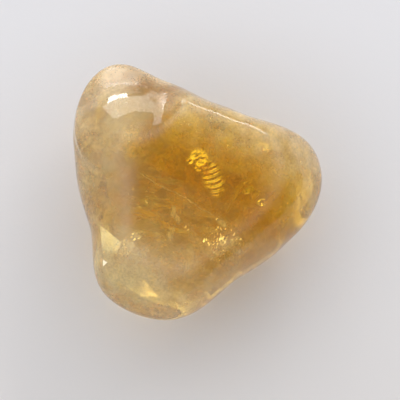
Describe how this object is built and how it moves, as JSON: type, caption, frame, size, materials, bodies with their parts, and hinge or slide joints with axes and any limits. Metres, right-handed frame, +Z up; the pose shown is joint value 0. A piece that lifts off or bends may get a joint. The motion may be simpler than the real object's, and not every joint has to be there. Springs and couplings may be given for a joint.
{
  "type": "tumbled citrine stone",
  "caption": "Polished rounded-triangle tumbled stone of heated citrine, see-through golden quartz with pale milky lobes, lying on a worn flat patch.",
  "frame": {"origin": "middle of the stone's bounding box in plan, at the height of the flat patch that it rests on", "axes": "+Z up through the stone's least thickness, +Y from the heel towards the knuckle, +X towards the blunt right-hand point"},
  "size_m": [0.03, 0.031, 0.0179],
  "materials": {
    "citrine": "polished see-through golden quartz"
  },
  "bodies": {
    "root": {"citrine_stone": "citrine"}
  },
  "joints": []
}
